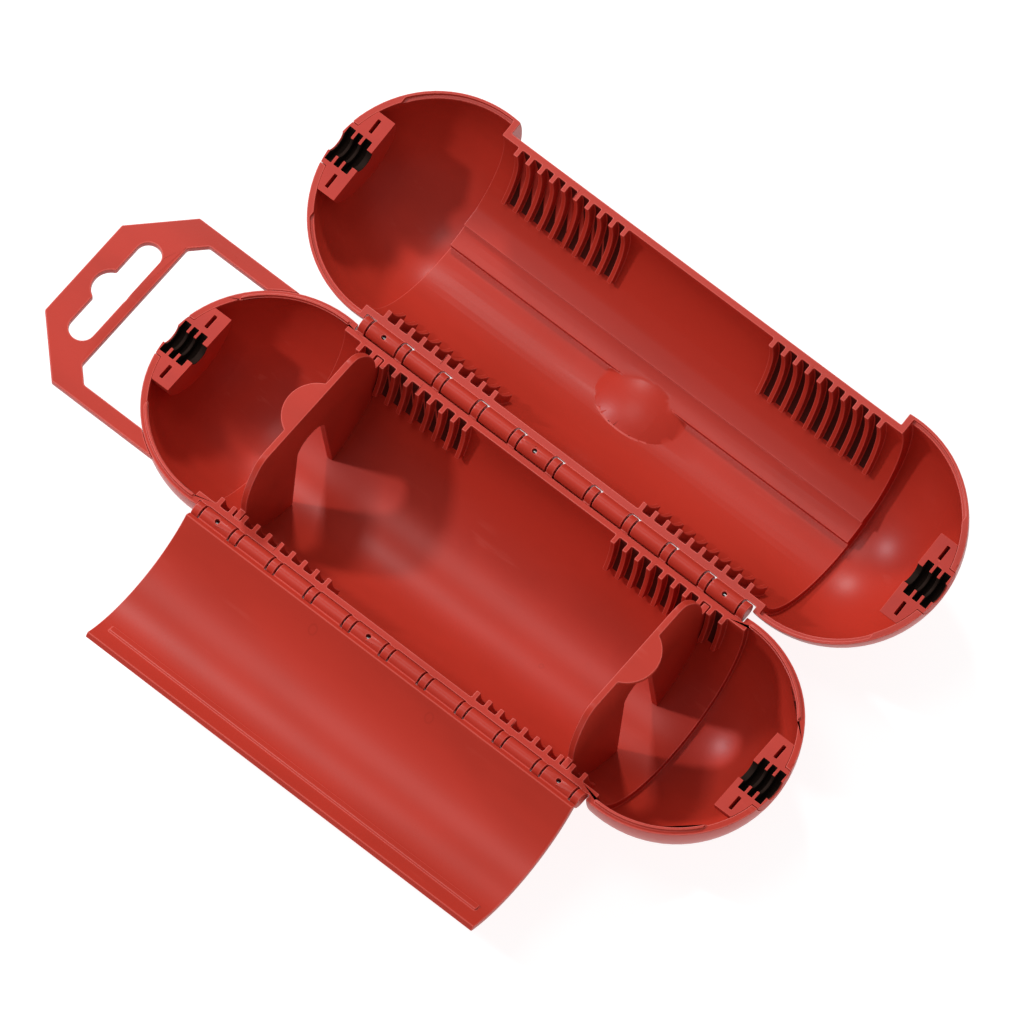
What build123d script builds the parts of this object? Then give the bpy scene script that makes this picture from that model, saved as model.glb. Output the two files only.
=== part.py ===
"""Cable connection box, open: two hinged bowls, a locking flap, hanger, plates and seals.

Row frame, millimetres: X runs along the capsule, away from the hanger. +Y points to the
lid, -Y to the locking flap, +Z up. The base's parting plane is z = 0 and x = 0 is mid length.
The lid is built as a bowl of its own and the flap in its closed place; both are then
turned about their hinge lines to the open pose.
"""
from build123d import *
import os
from math import asin, cos, degrees, radians, sin, sqrt

os.makedirs("parts", exist_ok=True)

# Shells
WALL = 2.0
CHAMBER_RADIUS = 31.8
BULB_RISE = 2.0
BULB_CENTRE = 74.0
STEP_INSET = 3.6
RIM_CLEARANCE = 0.1
CHAMBER_OUTER = CHAMBER_RADIUS + WALL
BULB_RADIUS = CHAMBER_OUTER + BULB_RISE
BULB_INNER = BULB_RADIUS - WALL
BULB_TIP = BULB_CENTRE + BULB_RADIUS
STEP_X = BULB_CENTRE - STEP_INSET
STEP_INNER_X = STEP_X + WALL

# Sealing tongue on the base's bulbs and its rebate in the lid
TONGUE_HEIGHT = 0.9
TONGUE_THICKNESS = 0.8
TONGUE_CLEARANCE = 0.3
TONGUE_END_MARGIN = 8.8
REBATE_DEPTH = 1.3
TONGUE_END_X = BULB_TIP - TONGUE_END_MARGIN

# Locking flap and the seat it covers on the lid
FLAP_THICKNESS = 1.9
FLAP_CLEARANCE = 0.3
FLAP_ARC = 87.5
FLAP_END_CLEARANCE = 0.6
FLAP_FOOT = 0.3
BEAD_HEIGHT = 0.6
BEAD_ARC = (72.5, 76.5)
BEAD_END_MARGIN = 3.5
GROOVE_DEPTH = 0.8
GROOVE_MARGIN = 1.0
RIDGE_ARC = (67.0, 77.5)
RIDGE_HEIGHT = 1.2
FLAP_INNER = CHAMBER_OUTER - FLAP_THICKNESS
SEAT_OUTER = FLAP_INNER - FLAP_CLEARANCE
SEAT_INNER = SEAT_OUTER - WALL
SEAT_END_ARC = FLAP_ARC + 3.5

# Hinges
PIN_RADIUS = 1.2
PIN_CLEARANCE = 0.06
BARREL_WALL = 1.4
BARREL_GAP = 0.3
HINGE_MARGIN = 1.9
KNUCKLE_COUNT = 10
EAR_THICKNESS = 2.4
KNUCKLE_GAP = 0.5
LID_OPEN_ANGLE = 168.0
FLAP_OPEN_ANGLE = 141.0
CORE_HOLE_RADIUS = 0.7
CORE_HOLE_KNUCKLES = (0, 4, 9)
BARREL_RADIUS = PIN_RADIUS + BARREL_WALL
HINGE_OFFSET = CHAMBER_OUTER + BARREL_GAP + BARREL_RADIUS
HINGE_PITCH = 2 * (STEP_X - HINGE_MARGIN) / KNUCKLE_COUNT
KNUCKLE_LENGTH = HINGE_PITCH - EAR_THICKNESS - 2 * KNUCKLE_GAP
BORE_RADIUS = PIN_RADIUS + PIN_CLEARANCE
PIN_LENGTH = KNUCKLE_COUNT * HINGE_PITCH
PIN_END_GAP = 0.1
APRON_GAP = 0.3
APRON_THICKNESS = 1.0

# Combs
COMB_END_MARGIN = 4.8
COMB_PITCH = 4.3
FIN_COUNT = 10
FIN_THICKNESS = 1.5
FIN_HEIGHT = 2.6
FIN_ARC = 28.0
FAR_FIN_ARC = 52.0
COMB_START = STEP_X - COMB_END_MARGIN - COMB_PITCH * (FIN_COUNT - 1)

# Partition plates
PLATE_SLOT = 7
PLATE_PLAY = 0.4
PLATE_CLEARANCE = 0.05
PLATE_LID_GAP = 1.1
PLATE_TOP_DROP = 8.5
PLATE_SHOULDER = 0.6
PLATE_CORNER = 6.0
CABLE_SLOT_RADIUS = 5.9
CABLE_SLOT_CENTRE = -2.5
CABLE_SLOT_FOOT = 8.8
TAB_HALF_WIDTH = 9.5
TAB_DEPTH = 5.7
TAB_THICKNESS = 1.6
PLATE_THICKNESS = COMB_PITCH - FIN_THICKNESS - 2 * PLATE_PLAY
PLATE_UPPER_RADIUS = SEAT_INNER - PLATE_LID_GAP
PLATE_TOP = PLATE_UPPER_RADIUS - PLATE_TOP_DROP
PLATE_X = COMB_START + COMB_PITCH * (PLATE_SLOT + 0.5)

# Cable seals
SEAL_RADIUS = 14.0
SEAL_LENGTH = 11.0
SEAL_CLEARANCE = 0.05
NOSE_RADIUS = 7.2
NOSE_CLEARANCE = 0.15
NOSE_INSET = 0.1
NOSE_WALL = 1.4
LAMELLA = 0.9
CABLE_RADIUS = 3.2
SEAL_GAPS = (2.3, 1.8, 2.3)
CHEEK_SLIT_MARGIN = 6.8
CHEEK_SLIT_Y = 9.9
CHEEK_SLIT_LENGTH = 4.6
CHEEK_SLIT_WIDTH = 1.1
CHEEK_SLIT_DEPTH = 5.0
SEAL_INNER_X = BULB_TIP - SEAL_LENGTH
GAP_RADIUS = NOSE_RADIUS - NOSE_WALL
CHEEK_SLIT_X = BULB_TIP - CHEEK_SLIT_MARGIN

# Thumb recess in the lid
RECESS_ANGLE = 97.0
RECESS_SPHERE = 30.0
RECESS_DEPTH = 3.6

# Hanger
HANGER_THICKNESS = 2.5
HANGER_INSET = 3.3
HANGER_REACH = 31.7
HANGER_CHAMFER = 15.6
HANGER_GAP = 0.05
ARM_WIDTH = 5.0
CROSSBAR_WIDTH = 18.9
WINDOW_CHAMFER = 4.5
SLOT_MARGIN = 11.7
SLOT_LENGTH = 36.6
SLOT_WIDTH = 7.8
SLOT_NUB_RADIUS = 5.6
SLOT_NUB_OFFSET = 1.6
HANGER_HALF_WIDTH = BULB_RADIUS - HANGER_INSET
HANGER_END_HALF = HANGER_HALF_WIDTH - HANGER_CHAMFER
HANGER_END_X = -BULB_TIP - HANGER_REACH
WINDOW_X = HANGER_END_X + CROSSBAR_WIDTH
SLOT_X = HANGER_END_X + SLOT_MARGIN


def polar(radius, angle):
    """Point at an angle below the +Y axis, as (Y, Z) in a cross-section."""
    return (radius * cos(radians(angle)), -radius * sin(radians(angle)))


def arc_between(radius, start, end):
    """Arc about the capsule's axis between two angles below the +Y axis."""
    middle = (start + end) / 2
    return ThreePointArc(polar(radius, start), polar(radius, middle), polar(radius, end))


def sector(inner, outer, start, end, mode=Mode.ADD):
    """Closed ring sector between two radii and two angles below the +Y axis."""
    with BuildLine() as outline:
        arc_between(outer, start, end)
        Line(polar(outer, end), polar(inner, end))
        arc_between(inner, end, start)
        Line(polar(inner, start), polar(outer, start))
    make_face(outline.edges(), mode=mode)


def bulb_profile(side):
    """Wall section of one bulb with its step, in the XY plane."""
    outer_y = sqrt(BULB_RADIUS**2 - (BULB_CENTRE - STEP_X) ** 2)
    inner_y = sqrt(BULB_INNER**2 - (BULB_CENTRE - STEP_INNER_X) ** 2)
    slant = sqrt(0.5)
    outer_mid = (side * (BULB_CENTRE + BULB_RADIUS * slant), BULB_RADIUS * slant)
    inner_mid = (side * (BULB_CENTRE + BULB_INNER * slant), BULB_INNER * slant)
    outer_tip = (side * (BULB_CENTRE + BULB_RADIUS), 0)
    inner_tip = (side * (BULB_CENTRE + BULB_INNER), 0)
    with BuildLine() as outline:
        ThreePointArc(outer_tip, outer_mid, (side * STEP_X, outer_y))
        Polyline(
            (side * STEP_X, outer_y),
            (side * STEP_X, CHAMBER_RADIUS),
            (side * STEP_INNER_X, CHAMBER_RADIUS),
            (side * STEP_INNER_X, inner_y),
        )
        ThreePointArc((side * STEP_INNER_X, inner_y), inner_mid, inner_tip)
        Line(inner_tip, outer_tip)
    make_face(outline.edges())


def add_bulbs():
    """Both hollow half bulbs of a shell, with their steps."""
    for side in (-1, 1):
        with BuildSketch(Plane.XY) as profile:
            bulb_profile(side)
        revolve(profile.sketch, axis=Axis((0, 0, 0), (-1, 0, 0)), revolution_arc=180)


def comb_positions():
    """X of every comb fin, both ends of the chamber."""
    fins = [COMB_START + COMB_PITCH * k for k in range(FIN_COUNT)]
    return [-x for x in reversed(fins)] + fins


def add_comb(wall_radius, start, end):
    """A row of fins on one long wall, rooted in the wall."""
    with BuildSketch(*[Plane.YZ.offset(x) for x in comb_positions()]) as fins:
        sector(wall_radius - FIN_HEIGHT, wall_radius + WALL / 2, start, end)
    extrude(fins.sketch, amount=FIN_THICKNESS / 2, both=True)


def knuckle_positions():
    """Mid X of each long knuckle."""
    return [(k + 0.5 - KNUCKLE_COUNT / 2) * HINGE_PITCH for k in range(KNUCKLE_COUNT)]


def ear_positions():
    """Mid X of each thin ear."""
    return [(k - KNUCKLE_COUNT / 2) * HINGE_PITCH for k in range(KNUCKLE_COUNT + 1)]


def add_hinge_row(positions, length, hinge_y, rim_z, foot_y):
    """Barrels about a hinge line, each with a web to the wall on the side of rim_z."""
    web_z = BARREL_RADIUS * (1 if rim_z > 0 else -1)
    with BuildSketch(*[Plane.YZ.offset(x) for x in positions]) as barrels:
        with Locations((hinge_y, 0)):
            Circle(BARREL_RADIUS)
        with BuildLine():
            Polyline((foot_y, rim_z), (hinge_y, rim_z), (hinge_y, web_z), (foot_y, web_z), close=True)
        make_face()
    extrude(barrels.sketch, amount=length / 2, both=True)


def add_hinge_apron(hinge_side):
    """Rib along the wall under a hinge line, closing the view down behind the barrels."""
    with BuildSketch(Plane.XY.offset(-BARREL_RADIUS - APRON_GAP)) as apron:
        with BuildLine() as outline:
            Polyline(
                (-PIN_LENGTH / 2, hinge_side * (CHAMBER_OUTER - WALL / 4)),
                (PIN_LENGTH / 2, hinge_side * (CHAMBER_OUTER - WALL / 4)),
                (PIN_LENGTH / 2, hinge_side * HINGE_OFFSET),
                (-PIN_LENGTH / 2, hinge_side * HINGE_OFFSET),
                close=True,
            )
        make_face(outline.edges())
    extrude(apron.sketch, amount=-APRON_THICKNESS)


def cut_hinge_bore(hinge_y, length):
    """The bore that the pin runs in."""
    with BuildSketch(Plane.YZ) as bore:
        with Locations((hinge_y, 0)):
            Circle(BORE_RADIUS)
    extrude(bore.sketch, amount=length / 2, both=True, mode=Mode.SUBTRACT)


def cut_core_holes(hinge_y, direction):
    """Small moulding core holes from a barrel's outside down to its bore."""
    rows = knuckle_positions()
    for k in CORE_HOLE_KNUCKLES:
        mouth = Plane(origin=(rows[k], hinge_y, 0), x_dir=(1, 0, 0), z_dir=direction)
        with BuildSketch(mouth) as hole:
            Circle(CORE_HOLE_RADIUS)
        extrude(hole.sketch, amount=2 * BARREL_RADIUS, mode=Mode.SUBTRACT)


def cut_port_notches():
    """U notches at both tips, where a seal's nose comes through the wall."""
    with BuildSketch(Plane.YZ) as notch:
        Circle(NOSE_RADIUS + NOSE_CLEARANCE)
    extrude(notch.sketch, amount=BULB_TIP + WALL, both=True, mode=Mode.SUBTRACT)


def add_pin(hinge_y):
    """A plain hinge pin, a little shorter than its blind bore."""
    with BuildSketch(Plane.YZ) as rod:
        with Locations((hinge_y, 0)):
            Circle(PIN_RADIUS)
    extrude(rod.sketch, amount=PIN_LENGTH / 2 - PIN_END_GAP, both=True)


def add_partition_plate(side):
    """Upright plate across the chamber with a cable slot and a finger tab."""
    plate_radius = CHAMBER_RADIUS - PLATE_CLEARANCE
    shoulder_angle = degrees(asin(PLATE_SHOULDER / plate_radius))
    with BuildSketch(Plane.YZ.offset(side * PLATE_X)) as outline:
        Circle(PLATE_UPPER_RADIUS)
        Rectangle(2 * PLATE_UPPER_RADIUS, 2 * PLATE_TOP, mode=Mode.INTERSECT)
        fillet(outline.vertices().group_by(Axis.Y)[-1], radius=PLATE_CORNER)
        with BuildLine() as bowl:
            arc_between(plate_radius, shoulder_angle, 180 - shoulder_angle)
            Line(polar(plate_radius, shoulder_angle), polar(plate_radius, 180 - shoulder_angle))
        make_face(bowl.edges())
        with Locations((0, CABLE_SLOT_CENTRE)):
            Circle(CABLE_SLOT_RADIUS, mode=Mode.SUBTRACT)
        with BuildLine() as slot:
            Polyline(
                (-CABLE_SLOT_RADIUS, CABLE_SLOT_CENTRE),
                (CABLE_SLOT_RADIUS, CABLE_SLOT_CENTRE),
                (CABLE_SLOT_FOOT, -CHAMBER_RADIUS),
                (-CABLE_SLOT_FOOT, -CHAMBER_RADIUS),
                close=True,
            )
        make_face(slot.edges(), mode=Mode.SUBTRACT)
    extrude(outline.sketch, amount=PLATE_THICKNESS / 2, both=True)
    root = side * PLATE_X
    tip = side * (PLATE_X + PLATE_THICKNESS / 2 + TAB_DEPTH)
    with BuildSketch(Plane.XY.offset(PLATE_TOP - TAB_THICKNESS)) as tab:
        with BuildLine() as edge:
            ThreePointArc((root, -TAB_HALF_WIDTH), (tip, 0), (root, TAB_HALF_WIDTH))
            Line((root, TAB_HALF_WIDTH), (root, -TAB_HALF_WIDTH))
        make_face(edge.edges())
    extrude(tab.sketch, amount=TAB_THICKNESS)


def add_cable_seal(side):
    """Lower half of a lamella seal: body inside the bulb, nose through the port notch."""
    body_sphere = BULB_INNER - SEAL_CLEARANCE
    nose_sphere = BULB_RADIUS - NOSE_INSET
    body_x = BULB_CENTRE + sqrt(body_sphere**2 - SEAL_RADIUS**2)
    body_neck_x = BULB_CENTRE + sqrt(body_sphere**2 - NOSE_RADIUS**2)
    nose_neck_x = BULB_CENTRE + sqrt(nose_sphere**2 - NOSE_RADIUS**2)
    body_mid_y = (SEAL_RADIUS + NOSE_RADIUS) / 2
    body_mid_x = BULB_CENTRE + sqrt(body_sphere**2 - body_mid_y**2)
    nose_mid_x = BULB_CENTRE + sqrt(nose_sphere**2 - (NOSE_RADIUS / 2) ** 2)
    tip_x = BULB_CENTRE + nose_sphere
    with BuildSketch(Plane.XY) as profile:
        with BuildLine() as outline:
            Polyline((side * tip_x, 0), (side * SEAL_INNER_X, 0), (side * SEAL_INNER_X, SEAL_RADIUS))
            Line((side * SEAL_INNER_X, SEAL_RADIUS), (side * body_x, SEAL_RADIUS))
            ThreePointArc(
                (side * body_x, SEAL_RADIUS), (side * body_mid_x, body_mid_y),
                (side * body_neck_x, NOSE_RADIUS),
            )
            Line((side * body_neck_x, NOSE_RADIUS), (side * nose_neck_x, NOSE_RADIUS))
            ThreePointArc(
                (side * nose_neck_x, NOSE_RADIUS), (side * nose_mid_x, NOSE_RADIUS / 2),
                (side * tip_x, 0),
            )
        make_face(outline.edges())
    revolve(profile.sketch, axis=Axis((0, 0, 0), (-1, 0, 0)), revolution_arc=180)
    split(bisect_by=Plane.XY.offset(-RIM_CLEARANCE), keep=Keep.BOTTOM)
    gap_end = tip_x - LAMELLA
    for gap in reversed(SEAL_GAPS):
        with BuildSketch(Plane.YZ.offset(side * gap_end)) as pocket:
            Circle(GAP_RADIUS)
        extrude(pocket.sketch, amount=-side * gap, mode=Mode.SUBTRACT)
        gap_end -= gap + LAMELLA
    with BuildSketch(Plane.YZ) as cable:
        Circle(CABLE_RADIUS)
    extrude(cable.sketch, amount=side * tip_x, mode=Mode.SUBTRACT)
    with BuildSketch(Plane.XY) as slits:
        with Locations(
            (side * CHEEK_SLIT_X, CHEEK_SLIT_Y), (side * CHEEK_SLIT_X, -CHEEK_SLIT_Y),
        ):
            Rectangle(CHEEK_SLIT_WIDTH, CHEEK_SLIT_LENGTH)
    extrude(slits.sketch, amount=-CHEEK_SLIT_DEPTH, mode=Mode.SUBTRACT)


def open_lid(solid):
    """Stand a lid part, built as a bowl about x, at its open pose."""
    beside = solid.translate((0, 2 * HINGE_OFFSET, 0))
    return beside.rotate(Axis((0, HINGE_OFFSET, 0), (1, 0, 0)), 180 - LID_OPEN_ANGLE)


def save(solid, name):
    """Label a finished piece and write its STEP file."""
    solid.label = name
    export_step(solid, f"parts/{name}.step")


# Base shell: bowl, combs, and the ears of both hinges
with BuildPart() as base_shell:
    with BuildSketch(Plane.YZ):
        sector(CHAMBER_RADIUS, CHAMBER_OUTER, 0, 180)
    extrude(amount=STEP_INNER_X, both=True)
    add_bulbs()
    add_comb(CHAMBER_RADIUS, 0, FIN_ARC)
    add_comb(CHAMBER_RADIUS, 180 - FIN_ARC, 180)
    split(bisect_by=Plane.XY.offset(-RIM_CLEARANCE), keep=Keep.BOTTOM)
    for side in (-1, 1):
        with BuildSketch(Plane.XY.offset(-WALL)):
            with Locations((side * BULB_CENTRE, 0)):
                Circle(BULB_INNER + TONGUE_THICKNESS)
                Circle(BULB_INNER, mode=Mode.SUBTRACT)
            with BuildLine():
                Polyline(
                    (side * (STEP_INNER_X + TONGUE_CLEARANCE), -BULB_RADIUS),
                    (side * TONGUE_END_X, -BULB_RADIUS),
                    (side * TONGUE_END_X, BULB_RADIUS),
                    (side * (STEP_INNER_X + TONGUE_CLEARANCE), BULB_RADIUS),
                    close=True,
                )
            make_face(mode=Mode.INTERSECT)
        extrude(amount=WALL + TONGUE_HEIGHT)
    cut_port_notches()
    for hinge_side in (-1, 1):
        add_hinge_row(
            ear_positions(), EAR_THICKNESS, hinge_side * HINGE_OFFSET, -RIM_CLEARANCE,
            hinge_side * (CHAMBER_OUTER - WALL / 4),
        )
        add_hinge_apron(hinge_side)
        cut_hinge_bore(hinge_side * HINGE_OFFSET, PIN_LENGTH)
save(base_shell.part, "base_shell")

# Bulge of the lid's wall around the thumb recess, trimmed inside the outer surface
RECESS_CENTRE = (0, *polar(CHAMBER_OUTER - RECESS_DEPTH + RECESS_SPHERE, RECESS_ANGLE))
with BuildPart() as recess_bulge:
    with Locations(RECESS_CENTRE):
        Sphere(RECESS_SPHERE + WALL)
    with BuildSketch(Plane.YZ):
        sector(CHAMBER_RADIUS / 2, SEAT_OUTER - WALL / 4, FLAP_ARC / 2, FLAP_ARC)
        sector(CHAMBER_RADIUS / 2, CHAMBER_OUTER - WALL / 4, FLAP_ARC, FLAP_ARC * 2)
    extrude(amount=RECESS_SPHERE, both=True, mode=Mode.INTERSECT)

# Lid shell, as a bowl: hinge on its -Y side, the flap's seat on its +Y side
with BuildPart() as lid_bowl:
    with BuildSketch(Plane.YZ):
        sector(SEAT_INNER, SEAT_OUTER, 0, FLAP_ARC)
        sector(SEAT_INNER, CHAMBER_OUTER, FLAP_ARC, SEAT_END_ARC)
        sector(CHAMBER_RADIUS, CHAMBER_OUTER, SEAT_END_ARC, 180)
        with BuildLine() as ridge:
            Polyline(
                polar(SEAT_INNER, RIDGE_ARC[0]),
                polar(SEAT_INNER - RIDGE_HEIGHT, RIDGE_ARC[1]),
                polar(SEAT_INNER + WALL / 4, RIDGE_ARC[1]),
                polar(SEAT_INNER + WALL / 4, RIDGE_ARC[0]),
                close=True,
            )
        make_face(ridge.edges())
        sector(
            SEAT_OUTER - GROOVE_DEPTH, SEAT_OUTER + WALL, BEAD_ARC[0] - GROOVE_MARGIN,
            BEAD_ARC[1] + GROOVE_MARGIN, mode=Mode.SUBTRACT,
        )
    extrude(amount=STEP_INNER_X, both=True)
    for side in (-1, 1):
        with BuildSketch(Plane.YZ.offset(side * STEP_X)):
            sector(SEAT_INNER, CHAMBER_OUTER, 0, SEAT_END_ARC)
        extrude(amount=side * WALL)
    add_bulbs()
    add_comb(SEAT_INNER, 0, FAR_FIN_ARC)
    add_comb(CHAMBER_RADIUS, 180 - FIN_ARC, 180)
    add(recess_bulge.part)
    with Locations(RECESS_CENTRE):
        Sphere(RECESS_SPHERE, mode=Mode.SUBTRACT)
    split(bisect_by=Plane.XY.offset(-RIM_CLEARANCE), keep=Keep.BOTTOM)
    for side in (-1, 1):
        rebate_end = side * (TONGUE_END_X + TONGUE_CLEARANCE)
        with BuildSketch(Plane.XY.offset(-REBATE_DEPTH)):
            with Locations((side * BULB_CENTRE, 0)):
                Circle(BULB_INNER + TONGUE_THICKNESS + TONGUE_CLEARANCE)
            with BuildLine() as band:
                Polyline(
                    (side * STEP_INNER_X, -BULB_RADIUS),
                    (rebate_end, -BULB_RADIUS),
                    (rebate_end, BULB_RADIUS),
                    (side * STEP_INNER_X, BULB_RADIUS),
                    close=True,
                )
            make_face(band.edges(), mode=Mode.INTERSECT)
        extrude(amount=REBATE_DEPTH, mode=Mode.SUBTRACT)
    cut_port_notches()
    add_hinge_row(
        knuckle_positions(), KNUCKLE_LENGTH, -HINGE_OFFSET, -RIM_CLEARANCE, WALL / 4 - CHAMBER_OUTER,
    )
    cut_hinge_bore(-HINGE_OFFSET, PIN_LENGTH)
    cut_core_holes(-HINGE_OFFSET, (0, 0, 1))
save(open_lid(lid_bowl.part), "lid_shell")

# Locking flap, in its closed place
FLAP_HALF_LENGTH = STEP_X - FLAP_END_CLEARANCE
FLAP_FREE_ANGLE = 180 + FLAP_ARC - degrees(FLAP_END_CLEARANCE / CHAMBER_OUTER)
with BuildPart() as flap_closed:
    with BuildSketch(Plane.YZ):
        sector(FLAP_INNER, CHAMBER_OUTER, 180, FLAP_FREE_ANGLE)
    extrude(amount=FLAP_HALF_LENGTH, both=True)
    with BuildSketch(Plane.YZ):
        sector(
            FLAP_INNER - BEAD_HEIGHT, FLAP_INNER + FLAP_THICKNESS / 4,
            180 + BEAD_ARC[0], 180 + BEAD_ARC[1],
        )
    extrude(amount=FLAP_HALF_LENGTH - BEAD_END_MARGIN, both=True)
    split(bisect_by=Plane.XY.offset(FLAP_FOOT), keep=Keep.TOP)
    add_hinge_row(
        knuckle_positions(), KNUCKLE_LENGTH, -HINGE_OFFSET, FLAP_FOOT, WALL / 4 - CHAMBER_OUTER,
    )
    cut_hinge_bore(-HINGE_OFFSET, PIN_LENGTH)
    cut_core_holes(
        -HINGE_OFFSET, (0, sin(radians(FLAP_OPEN_ANGLE)), cos(radians(FLAP_OPEN_ANGLE))),
    )
FLAP_HINGE = Axis((0, -HINGE_OFFSET, 0), (1, 0, 0))
save(flap_closed.part.rotate(FLAP_HINGE, FLAP_OPEN_ANGLE), "locking_flap")

# Hinge pins
with BuildPart() as lid_hinge_pin:
    add_pin(HINGE_OFFSET)
save(lid_hinge_pin.part, "lid_hinge_pin")

with BuildPart() as flap_hinge_pin:
    add_pin(-HINGE_OFFSET)
save(flap_hinge_pin.part, "flap_hinge_pin")

# Partition plates, dropped between two comb fins at each end of the chamber
with BuildPart() as hanger_end_plate:
    add_partition_plate(-1)
save(hanger_end_plate.part, "hanger_end_plate")

with BuildPart() as far_end_plate:
    add_partition_plate(1)
save(far_end_plate.part, "far_end_plate")

# Cable seals, one half in the base and one in the lid at each end
with BuildPart() as base_seal_hanger_end:
    add_cable_seal(-1)
save(base_seal_hanger_end.part, "base_seal_hanger_end")

with BuildPart() as base_seal_far_end:
    add_cable_seal(1)
save(base_seal_far_end.part, "base_seal_far_end")

with BuildPart() as lid_seal_hanger_end:
    add_cable_seal(-1)
save(open_lid(lid_seal_hanger_end.part), "lid_seal_hanger_end")

with BuildPart() as lid_seal_far_end:
    add_cable_seal(1)
save(open_lid(lid_seal_far_end.part), "lid_seal_far_end")

# Hanger: flat frame at the base's rim with a hang slot in its crossbar
with BuildPart() as hanger:
    with BuildSketch(Plane.XY.offset(-RIM_CLEARANCE - HANGER_THICKNESS)):
        corner_x = HANGER_END_X + HANGER_CHAMFER
        with BuildLine() as outline:
            Polyline(
                (-BULB_CENTRE, -HANGER_HALF_WIDTH),
                (corner_x, -HANGER_HALF_WIDTH),
                (HANGER_END_X, -HANGER_END_HALF),
                (HANGER_END_X, HANGER_END_HALF),
                (corner_x, HANGER_HALF_WIDTH),
                (-BULB_CENTRE, HANGER_HALF_WIDTH),
                close=True,
            )
        make_face(outline.edges())
        window_half = HANGER_HALF_WIDTH - ARM_WIDTH
        with BuildLine() as window:
            Polyline(
                (-BULB_CENTRE, -window_half),
                (WINDOW_X + WINDOW_CHAMFER, -window_half),
                (WINDOW_X, WINDOW_CHAMFER - window_half),
                (WINDOW_X, window_half - WINDOW_CHAMFER),
                (WINDOW_X + WINDOW_CHAMFER, window_half),
                (-BULB_CENTRE, window_half),
                close=True,
            )
        make_face(window.edges(), mode=Mode.SUBTRACT)
        with Locations((SLOT_X, 0)):
            SlotOverall(SLOT_LENGTH, SLOT_WIDTH, rotation=90, mode=Mode.SUBTRACT)
        with Locations((SLOT_X - SLOT_NUB_OFFSET, 0)):
            Circle(SLOT_NUB_RADIUS, mode=Mode.SUBTRACT)
    extrude(amount=HANGER_THICKNESS)
    with Locations((-BULB_CENTRE, 0, 0)):
        Sphere(BULB_RADIUS + HANGER_GAP, mode=Mode.SUBTRACT)
save(hanger.part, "hanger")
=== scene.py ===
import math
import bpy
from mathutils import Matrix, Vector


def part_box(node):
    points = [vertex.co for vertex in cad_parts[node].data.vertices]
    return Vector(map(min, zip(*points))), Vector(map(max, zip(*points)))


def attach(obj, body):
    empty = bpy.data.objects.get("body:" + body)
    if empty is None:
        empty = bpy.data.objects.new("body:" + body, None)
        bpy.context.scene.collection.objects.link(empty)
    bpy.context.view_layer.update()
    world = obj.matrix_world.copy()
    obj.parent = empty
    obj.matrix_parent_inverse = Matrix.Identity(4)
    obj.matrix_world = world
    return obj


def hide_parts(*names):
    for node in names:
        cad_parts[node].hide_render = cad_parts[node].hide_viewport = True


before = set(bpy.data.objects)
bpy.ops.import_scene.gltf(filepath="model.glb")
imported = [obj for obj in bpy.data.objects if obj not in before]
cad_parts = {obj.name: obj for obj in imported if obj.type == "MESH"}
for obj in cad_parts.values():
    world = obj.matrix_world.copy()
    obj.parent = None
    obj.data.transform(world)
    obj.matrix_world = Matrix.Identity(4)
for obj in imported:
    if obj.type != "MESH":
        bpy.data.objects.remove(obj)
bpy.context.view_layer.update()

MM = 0.001

# The box's own sizes
HINGE_Y = 36.7 * MM
LID_OPEN = math.radians(168)
EDGE = 0.3 * MM
HANGER_EDGE = 0.4 * MM
SEAL_EDGE = 0.15 * MM

# How CAD copies are merged and their edges broken
MERGE_DISTANCE = 0.001 * MM
FLAT_ANGLE = math.radians(0.4)
SHARP_ANGLE = math.radians(35)
SMOOTH_ANGLE = math.radians(30)

# Seal gaps, as half bores about the capsule's axis, where black shade is painted
SEAL_GAP_RADIUS = 5.9 * MM
SEAL_GAP_TOP = -0.4 * MM
LAMELLA = 0.9 * MM

# Floors between the comb fins, on the walls of both bowls, where dark shade is painted
COMB_FROM = 26 * MM
COMB_TO = 67 * MM
COMB_GAP_WIDTH = 3 * MM
COMB_GAP_TOP = -0.5 * MM
WALL_REACH = 29.3 * MM
INWARD = -0.7

# Cuts that keep long faces of the large shells simple
LARGE_MESH = 5000
CUT_SPACING = 17 * MM
CUT_SHIFT = 0.37
CUTS_EACH_WAY = 6

# Gate and ejector marks: X, Y and ring radius, all in millimetres
MARKS = ((27, -2, 0.6), (-21, -44, 1.2), (21, -44, 1.2))
MARK_LINE = 0.45 * MM
MARK_DEPTH = 0.45
SCUFF_ROUGHNESS = 0.16


# ---- Modelling helpers ----

def select_only(piece):
    """Deselect everything and make one piece active."""
    bpy.ops.object.select_all(action="DESELECT")
    piece.select_set(True)
    bpy.context.view_layer.objects.active = piece


def clean_copy(node, name):
    """A merged copy of a CAD node's mesh, with its flat faces made whole."""
    piece = bpy.data.objects.new(name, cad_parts[node].data.copy())
    bpy.context.scene.collection.objects.link(piece)
    piece.data.materials.clear()
    select_only(piece)
    bpy.ops.mesh.customdata_custom_splitnormals_clear()
    bpy.ops.object.mode_set(mode="EDIT")
    bpy.ops.mesh.select_all(action="SELECT")
    bpy.ops.mesh.remove_doubles(threshold=MERGE_DISTANCE)
    bpy.ops.mesh.dissolve_limited(angle_limit=FLAT_ANGLE)
    bpy.ops.object.mode_set(mode="OBJECT")
    return piece


def cross_cut(piece):
    """Flat cuts across the length, so no long face wraps round an opening."""
    select_only(piece)
    bpy.ops.object.mode_set(mode="EDIT")
    for k in range(-CUTS_EACH_WAY, CUTS_EACH_WAY + 1):
        cut_x = (k + CUT_SHIFT) * CUT_SPACING
        bpy.ops.mesh.select_all(action="SELECT")
        bpy.ops.mesh.bisect(plane_co=(cut_x, 0, 0), plane_no=(1, 0, 0))
    bpy.ops.object.mode_set(mode="OBJECT")


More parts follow.
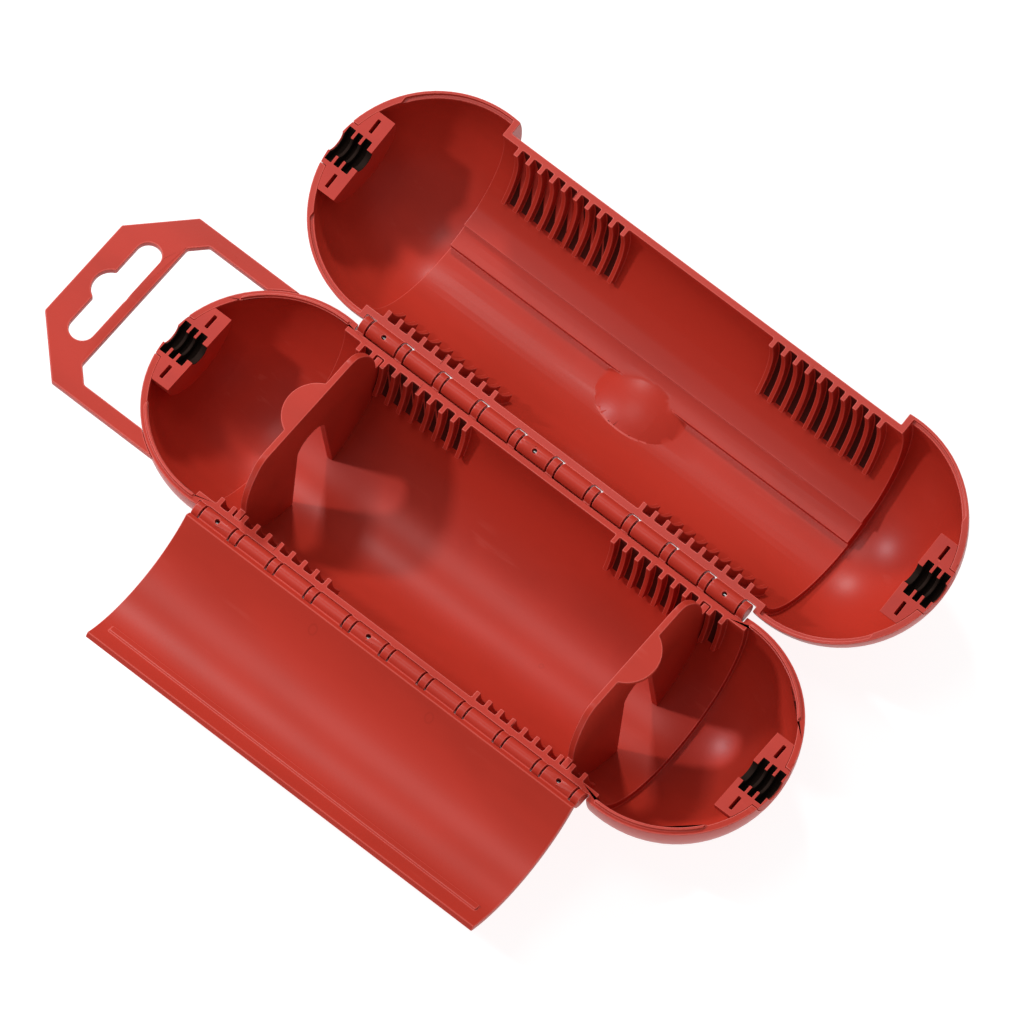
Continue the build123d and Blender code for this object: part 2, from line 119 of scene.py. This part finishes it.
def break_edges(piece, radius):
    """Round every sharp edge a little, as a mould leaves it; rounded faces take material 1, a lighter
    colour that paints a highlight along the edges.
    """
    select_only(piece)
    bevel = piece.modifiers.new("edge_radius", "BEVEL")
    bevel.width = radius
    bevel.segments = 2
    bevel.limit_method = "ANGLE"
    bevel.angle_limit = SHARP_ANGLE
    bevel.use_clamp_overlap = False
    bevel.miter_outer = "MITER_ARC"
    # The rounded faces take the lighter edge material: a painted highlight along every edge
    bevel.material = 1
    bpy.ops.object.modifier_apply(modifier=bevel.name)
    bpy.ops.object.shade_smooth_by_angle(angle=SMOOTH_ANGLE)
    weighted = piece.modifiers.new("flat_faces_rule", "WEIGHTED_NORMAL")
    weighted.keep_sharp = True
    weighted.weight = 80
    bpy.ops.object.modifier_apply(modifier=weighted.name)


def rounded(node, name, body, materials, radius):
    """A CAD node's shape with broken edges, riding where the node does."""
    piece = clean_copy(node, name)
    if len(piece.data.polygons) > LARGE_MESH:
        cross_cut(piece)
    for material in materials:
        piece.data.materials.append(material)
    break_edges(piece, radius)
    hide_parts(node)
    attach(piece, body)
    return piece


# ---- Node helpers ----

def new_group(name, inputs, outputs):
    """A shader node group with the given sockets, and its two end nodes."""
    group = bpy.data.node_groups.new(name, "ShaderNodeTree")
    for label, kind in inputs:
        group.interface.new_socket(label, in_out="INPUT", socket_type=kind)
    for label, kind in outputs:
        group.interface.new_socket(label, in_out="OUTPUT", socket_type=kind)
    return group, group.nodes.new("NodeGroupInput"), group.nodes.new("NodeGroupOutput")


def feed(tree, source, socket):
    """Link a socket, or set a plain value."""
    if isinstance(source, bpy.types.NodeSocket):
        tree.links.new(source, socket)
    else:
        socket.default_value = source


def noise(tree, vector, scale, detail=2.0, stretch=(1, 1, 1)):
    """Noise value over coordinates stretched along an axis."""
    mapping = tree.nodes.new("ShaderNodeMapping")
    mapping.inputs["Scale"].default_value = stretch
    tree.links.new(vector, mapping.inputs["Vector"])
    texture = tree.nodes.new("ShaderNodeTexNoise")
    texture.inputs["Scale"].default_value = scale
    texture.inputs["Detail"].default_value = detail
    tree.links.new(mapping.outputs["Vector"], texture.inputs["Vector"])
    return texture.outputs[0]


def remap(tree, value, low, high, to_low=0.0, to_high=1.0):
    """Value brought from one range to another and clamped."""
    node = tree.nodes.new("ShaderNodeMapRange")
    node.interpolation_type = "SMOOTHSTEP"
    for socket, number in (("From Min", low), ("From Max", high), ("To Min", to_low), ("To Max", to_high)):
        node.inputs[socket].default_value = number
    feed(tree, value, node.inputs["Value"])
    return node.outputs["Result"]


def maths(tree, operation, first, second=0.0):
    """Result of a maths node on two values."""
    node = tree.nodes.new("ShaderNodeMath")
    node.operation = operation
    feed(tree, first, node.inputs[0])
    feed(tree, second, node.inputs[1])
    return node.outputs["Value"]


def blend(tree, factor, first, second):
    """Colour mixed from two by a factor."""
    mix = tree.nodes.new("ShaderNodeMix")
    mix.data_type = "RGBA"
    feed(tree, factor, mix.inputs[0])
    feed(tree, first, mix.inputs[6])
    feed(tree, second, mix.inputs[7])
    return mix.outputs[2]


COLOUR = "NodeSocketColor"
VALUE = "NodeSocketFloat"
VECTOR = "NodeSocketVector"


def make_plastic_tone():
    """Colour of moulded plastic: long flow clouds, faint pigment specks and scuffs."""
    group, entry, leave = new_group(
        "plastic_tone",
        [("Vector", VECTOR), ("Body", COLOUR), ("Deep", COLOUR), ("Pale", COLOUR)],
        [("Color", COLOUR), ("Scuff", VALUE)],
    )
    place = entry.outputs["Vector"]
    flow = remap(group, noise(group, place, 55, 3, (0.35, 1, 1)), 0.35, 0.75, 0.0, 0.55)
    clouded = blend(group, flow, entry.outputs["Body"], entry.outputs["Deep"])
    speck = remap(group, noise(group, place, 2600, 1), 0.66, 0.78, 0.0, 0.35)
    specked = blend(group, speck, clouded, entry.outputs["Deep"])
    patches = remap(group, noise(group, place, 30, 2), 0.5, 0.72)
    hairs = remap(group, noise(group, place, 420, 2, (0.12, 1, 1)), 0.6, 0.74)
    scuff = maths(group, "MULTIPLY", patches, hairs)
    pale = maths(group, "MULTIPLY", scuff, 0.22)
    group.links.new(blend(group, pale, specked, entry.outputs["Pale"]), leave.inputs["Color"])
    group.links.new(scuff, leave.inputs["Scuff"])
    return group


def make_moulded_relief():
    """Normal of a moulded surface: slow sink waves under a fine grain."""
    group, entry, leave = new_group(
        "moulded_relief", [("Vector", VECTOR), ("Grain", VALUE)], [("Normal", VECTOR)],
    )
    place = entry.outputs["Vector"]
    wave = group.nodes.new("ShaderNodeBump")
    wave.inputs["Strength"].default_value = 0.35
    wave.inputs["Distance"].default_value = 0.15 * MM
    group.links.new(noise(group, place, 60, 1, (0.6, 1, 1)), wave.inputs["Height"])
    grain = group.nodes.new("ShaderNodeBump")
    grain.inputs["Distance"].default_value = 0.05 * MM
    group.links.new(entry.outputs["Grain"], grain.inputs["Strength"])
    group.links.new(noise(group, place, 1900, 3), grain.inputs["Height"])
    group.links.new(wave.outputs["Normal"], grain.inputs["Normal"])
    group.links.new(grain.outputs["Normal"], leave.inputs["Normal"])
    return group


def make_mould_marks():
    """Mask of the faint rings that ejector pins and the gate left."""
    group, entry, leave = new_group("mould_marks", [("Vector", VECTOR)], [("Mask", VALUE)])
    flat = group.nodes.new("ShaderNodeVectorMath")
    flat.operation = "MULTIPLY"
    flat.inputs[1].default_value = (1, 1, 0)
    group.links.new(entry.outputs["Vector"], flat.inputs[0])
    rings = 0.0
    for x, y, radius in MARKS:
        gap = group.nodes.new("ShaderNodeVectorMath")
        gap.operation = "DISTANCE"
        gap.inputs[1].default_value = (x * MM, y * MM, 0)
        group.links.new(flat.outputs["Vector"], gap.inputs[0])
        off_ring = maths(group, "ABSOLUTE", maths(group, "SUBTRACT", gap.outputs["Value"], radius * MM))
        rings = maths(group, "MAXIMUM", remap(group, off_ring, 0, MARK_LINE, MARK_DEPTH, 0), rings)
    group.links.new(rings, leave.inputs["Mask"])
    return group


PLASTIC_TONE = make_plastic_tone()
MOULD_MARKS = make_mould_marks()
MOULDED_RELIEF = make_moulded_relief()


# ---- Materials ----

def new_material(name):
    """A node material, with its tree and its Principled shader."""
    material = bpy.data.materials.new(name)
    material.use_nodes = True
    return material, material.node_tree, material.node_tree.nodes["Principled BSDF"]


def object_place(tree):
    """Object coordinates of the surface."""
    return tree.nodes.new("ShaderNodeTexCoord").outputs["Object"]


def use_group(tree, group, place):
    """A shared node group placed in a material and given its coordinates."""
    node = tree.nodes.new("ShaderNodeGroup")
    node.node_tree = group
    tree.links.new(place, node.inputs["Vector"])
    return node


def moulded(name, body, deep, pale, rough, grain, specular):
    """Moulded plastic or rubber in one pigment."""
    material, tree, shader = new_material(name)
    place = object_place(tree)
    tone = use_group(tree, PLASTIC_TONE, place)
    for socket, colour in (("Body", body), ("Deep", deep), ("Pale", pale)):
        tone.inputs[socket].default_value = (*colour, 1)
    relief = use_group(tree, MOULDED_RELIEF, place)
    relief.inputs["Grain"].default_value = grain
    marks = use_group(tree, MOULD_MARKS, place)
    marked = blend(tree, marks.outputs["Mask"], tone.outputs["Color"], (*deep, 1))
    tree.links.new(marked, shader.inputs["Base Color"])
    worn = remap(tree, tone.outputs["Scuff"], 0, 1, rough, rough + SCUFF_ROUGHNESS)
    tree.links.new(worn, shader.inputs["Roughness"])
    tree.links.new(relief.outputs["Normal"], shader.inputs["Normal"])
    shader.inputs["Specular IOR Level"].default_value = specular
    return material


shell_red = moulded(
    "shell_red", (0.49, 0.036, 0.020), (0.38, 0.028, 0.015), (0.62, 0.10, 0.07), 0.33, 0.20, 0.17)
# Lighter colour for the rounded edges of the shells: painted highlight
shell_edge_painted_highlight = moulded(
    "shell_edge_painted_highlight", (0.60, 0.075, 0.052), (0.50, 0.050, 0.034), (0.74, 0.18, 0.14), 0.42, 0.15, 0.3)
seal_red = moulded(
    "seal_red", (0.50, 0.036, 0.020), (0.36, 0.024, 0.018), (0.62, 0.10, 0.08), 0.52, 0.4, 0.25)
# Lighter colour for the rounded edges of the seals: painted highlight
seal_edge_painted_highlight = moulded(
    "seal_edge_painted_highlight", (0.60, 0.060, 0.038), (0.50, 0.040, 0.030), (0.70, 0.14, 0.11), 0.52, 0.3, 0.25)
# Near-black colour: painted shade on the floors between the comb fins
comb_gap_painted_shade = moulded(
    "comb_gap_painted_shade", (0.085, 0.013, 0.009), (0.045, 0.010, 0.007), (0.16, 0.03, 0.02), 0.6, 0.3, 0.2)
# Near-black colour: painted shade inside the deep gaps between the seal lamellae
seal_gap_painted_shade = moulded(
    "seal_gap_painted_shade", (0.020, 0.010, 0.007), (0.010, 0.006, 0.004), (0.06, 0.03, 0.02), 0.8, 0.4, 0.1)


def drawn_steel():
    """Bright drawn wire for the hinge pins, with lines along its length."""
    material, tree, shader = new_material("pin_steel")
    place = object_place(tree)
    lines = noise(tree, place, 2400, 2, (0.03, 1, 1))
    tint = blend(tree, lines, (0.30, 0.29, 0.28, 1), (0.16, 0.15, 0.15, 1))
    tree.links.new(tint, shader.inputs["Base Color"])
    tree.links.new(remap(tree, lines, 0.3, 0.7, 0.24, 0.42), shader.inputs["Roughness"])
    bump = tree.nodes.new("ShaderNodeBump")
    bump.inputs["Strength"].default_value = 0.3
    bump.inputs["Distance"].default_value = 0.02 * MM
    tree.links.new(lines, bump.inputs["Height"])
    tree.links.new(bump.outputs["Normal"], shader.inputs["Normal"])
    shader.inputs["Metallic"].default_value = 1.0
    return material


pin_steel = drawn_steel()

# ---- Pieces ----

SHELL = (shell_red, shell_edge_painted_highlight)
BOWL = (shell_red, shell_edge_painted_highlight, comb_gap_painted_shade)
SEAL = (seal_red, seal_edge_painted_highlight, seal_gap_painted_shade)
# Material slot 2 holds painted shade, in the comb gaps and in the seal gaps
PAINTED_SHADE_SLOT = 2
rounded("locking_flap", "flap_cover", "flap", SHELL, EDGE)
rounded("hanger", "hanger_frame", "base", SHELL, HANGER_EDGE)
rounded("hanger_end_plate", "plate_hanger_end", "base", SHELL, EDGE)
rounded("far_end_plate", "plate_far_end", "base", SHELL, EDGE)


def bowl_turn(direction, body):
    """A direction as it points in its own bowl."""
    if body == "base":
        return direction
    return Matrix.Rotation(LID_OPEN - math.pi, 3, "X") @ direction


def bowl_place(point, body):
    """A point as it lies in its own bowl: the lid's parts turned back about the hinge."""
    if body == "base":
        return point
    hinge = Vector((0, HINGE_Y, 0))
    return bowl_turn(point - hinge, body) - hinge


def bowl(node, name, body):
    """A shell bowl whose wall has painted dark shade on the floors between the comb fins."""
    piece = rounded(node, name, body, BOWL, EDGE)
    corners = piece.data.vertices
    for face in piece.data.polygons:
        along = [corners[k].co.x for k in face.vertices]
        narrow = max(along) - min(along) < COMB_GAP_WIDTH and face.material_index == 0
        if not narrow or not COMB_FROM < abs(face.center.x) < COMB_TO:
            continue
        centre = bowl_place(face.center, body)
        reach = math.hypot(centre.y, centre.z)
        facing = bowl_turn(face.normal, body)
        inward = facing.y * centre.y + facing.z * centre.z < INWARD * reach
        if inward and reach > WALL_REACH and centre.z < COMB_GAP_TOP:
            face.material_index = PAINTED_SHADE_SLOT


bowl("base_shell", "base_bowl", "base")
bowl("lid_shell", "lid_bowl", "lid")


def cable_seal(node, name, body):
    """A lamella seal whose gaps have painted black shade inside."""
    piece = rounded(node, name, body, SEAL, SEAL_EDGE)
    tip = max(abs(corner.x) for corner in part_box(node))
    for face in piece.data.polygons:
        centre = bowl_place(face.center, body)
        inside = math.hypot(centre.y, centre.z) < SEAL_GAP_RADIUS and centre.z < SEAL_GAP_TOP
        if inside and abs(centre.x) < tip - LAMELLA / 2:
            face.material_index = PAINTED_SHADE_SLOT


cable_seal("base_seal_hanger_end", "seal_base_hanger_end", "base")
cable_seal("base_seal_far_end", "seal_base_far_end", "base")
cable_seal("lid_seal_hanger_end", "seal_lid_hanger_end", "lid")
cable_seal("lid_seal_far_end", "seal_lid_far_end", "lid")
for node in ("lid_hinge_pin", "flap_hinge_pin"):
    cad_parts[node].data.materials.clear()
    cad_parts[node].data.materials.append(pin_steel)

# ---- Stage, light and camera ----

FLOOR_SIZE = 30
CAMERA_AZIMUTH = 39.42
CAMERA_ELEVATION = 66.71
CAMERA_DISTANCE = 4.41
FOCAL_LENGTH = 555
AIM_RIGHT = 0.01137
AIM_UP = 0.01353
LIGHT_DISTANCE = 1.6


def view_axes(azimuth, elevation):
    """Right, up and back vectors of a camera, azimuth 0 looking along +Y."""
    a, e = math.radians(azimuth), math.radians(elevation)
    right = Vector((math.cos(a), math.sin(a), 0))
    back = Vector((math.sin(a) * math.cos(e), -math.cos(a) * math.cos(e), math.sin(e)))
    return right, back.cross(right), back


floor_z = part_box("base_shell")[0].z
bpy.ops.object.select_all(action="DESELECT")
bpy.ops.mesh.primitive_plane_add(size=FLOOR_SIZE, location=(0, 0, floor_z))
floor = bpy.context.active_object
floor.name = "floor"
floor_material, _, floor_shader = new_material("floor_white")
floor_shader.inputs["Base Color"].default_value = (0.3, 0.3, 0.3, 1)
floor_shader.inputs["Roughness"].default_value = 0.9
floor_shader.inputs["Specular IOR Level"].default_value = 0.0
floor_shader.inputs["Emission Color"].default_value = (1, 1, 1, 1)
floor_shader.inputs["Emission Strength"].default_value = 0.88
floor.data.materials.append(floor_material)

world = bpy.data.worlds.new("studio")
bpy.context.scene.world = world
world.use_nodes = True
world.node_tree.nodes["Background"].inputs["Color"].default_value = (1, 1, 1, 1)
world.node_tree.nodes["Background"].inputs["Strength"].default_value = 0.36


def add_light(name, direction, size, power, tint=(1, 1, 1)):
    """A square soft light aimed at the object."""
    data = bpy.data.lights.new(name, "AREA")
    data.shape = "SQUARE"
    data.size = size
    data.energy = power
    data.color = tint
    lamp = bpy.data.objects.new(name, data)
    bpy.context.scene.collection.objects.link(lamp)
    toward = Vector(direction).normalized()
    lamp.location = toward * LIGHT_DISTANCE
    lamp.rotation_euler = toward.to_track_quat("Z", "Y").to_euler()


add_light("key", (-0.58, 0.67, 1.0), 0.18, 9.5)
add_light("second", (-0.61, -0.28, 0.74), 0.11, 10.5, (0.96, 0.93, 1.0))
add_light("overhead", (-0.25, -0.05, 0.96), 0.5, 4.5)

right, up, back = view_axes(CAMERA_AZIMUTH, CAMERA_ELEVATION)
camera_data = bpy.data.cameras.new("camera")
camera_data.sensor_width = 36
camera_data.lens = FOCAL_LENGTH
camera_data.clip_start = 0.1
camera_data.clip_end = 50
camera = bpy.data.objects.new("camera", camera_data)
bpy.context.scene.collection.objects.link(camera)
camera.location = right * AIM_RIGHT + up * AIM_UP + back * CAMERA_DISTANCE
camera.rotation_euler = back.to_track_quat("Z", "Y").to_euler()
bpy.context.scene.camera = camera
bpy.context.scene.view_settings.view_transform = "Standard"
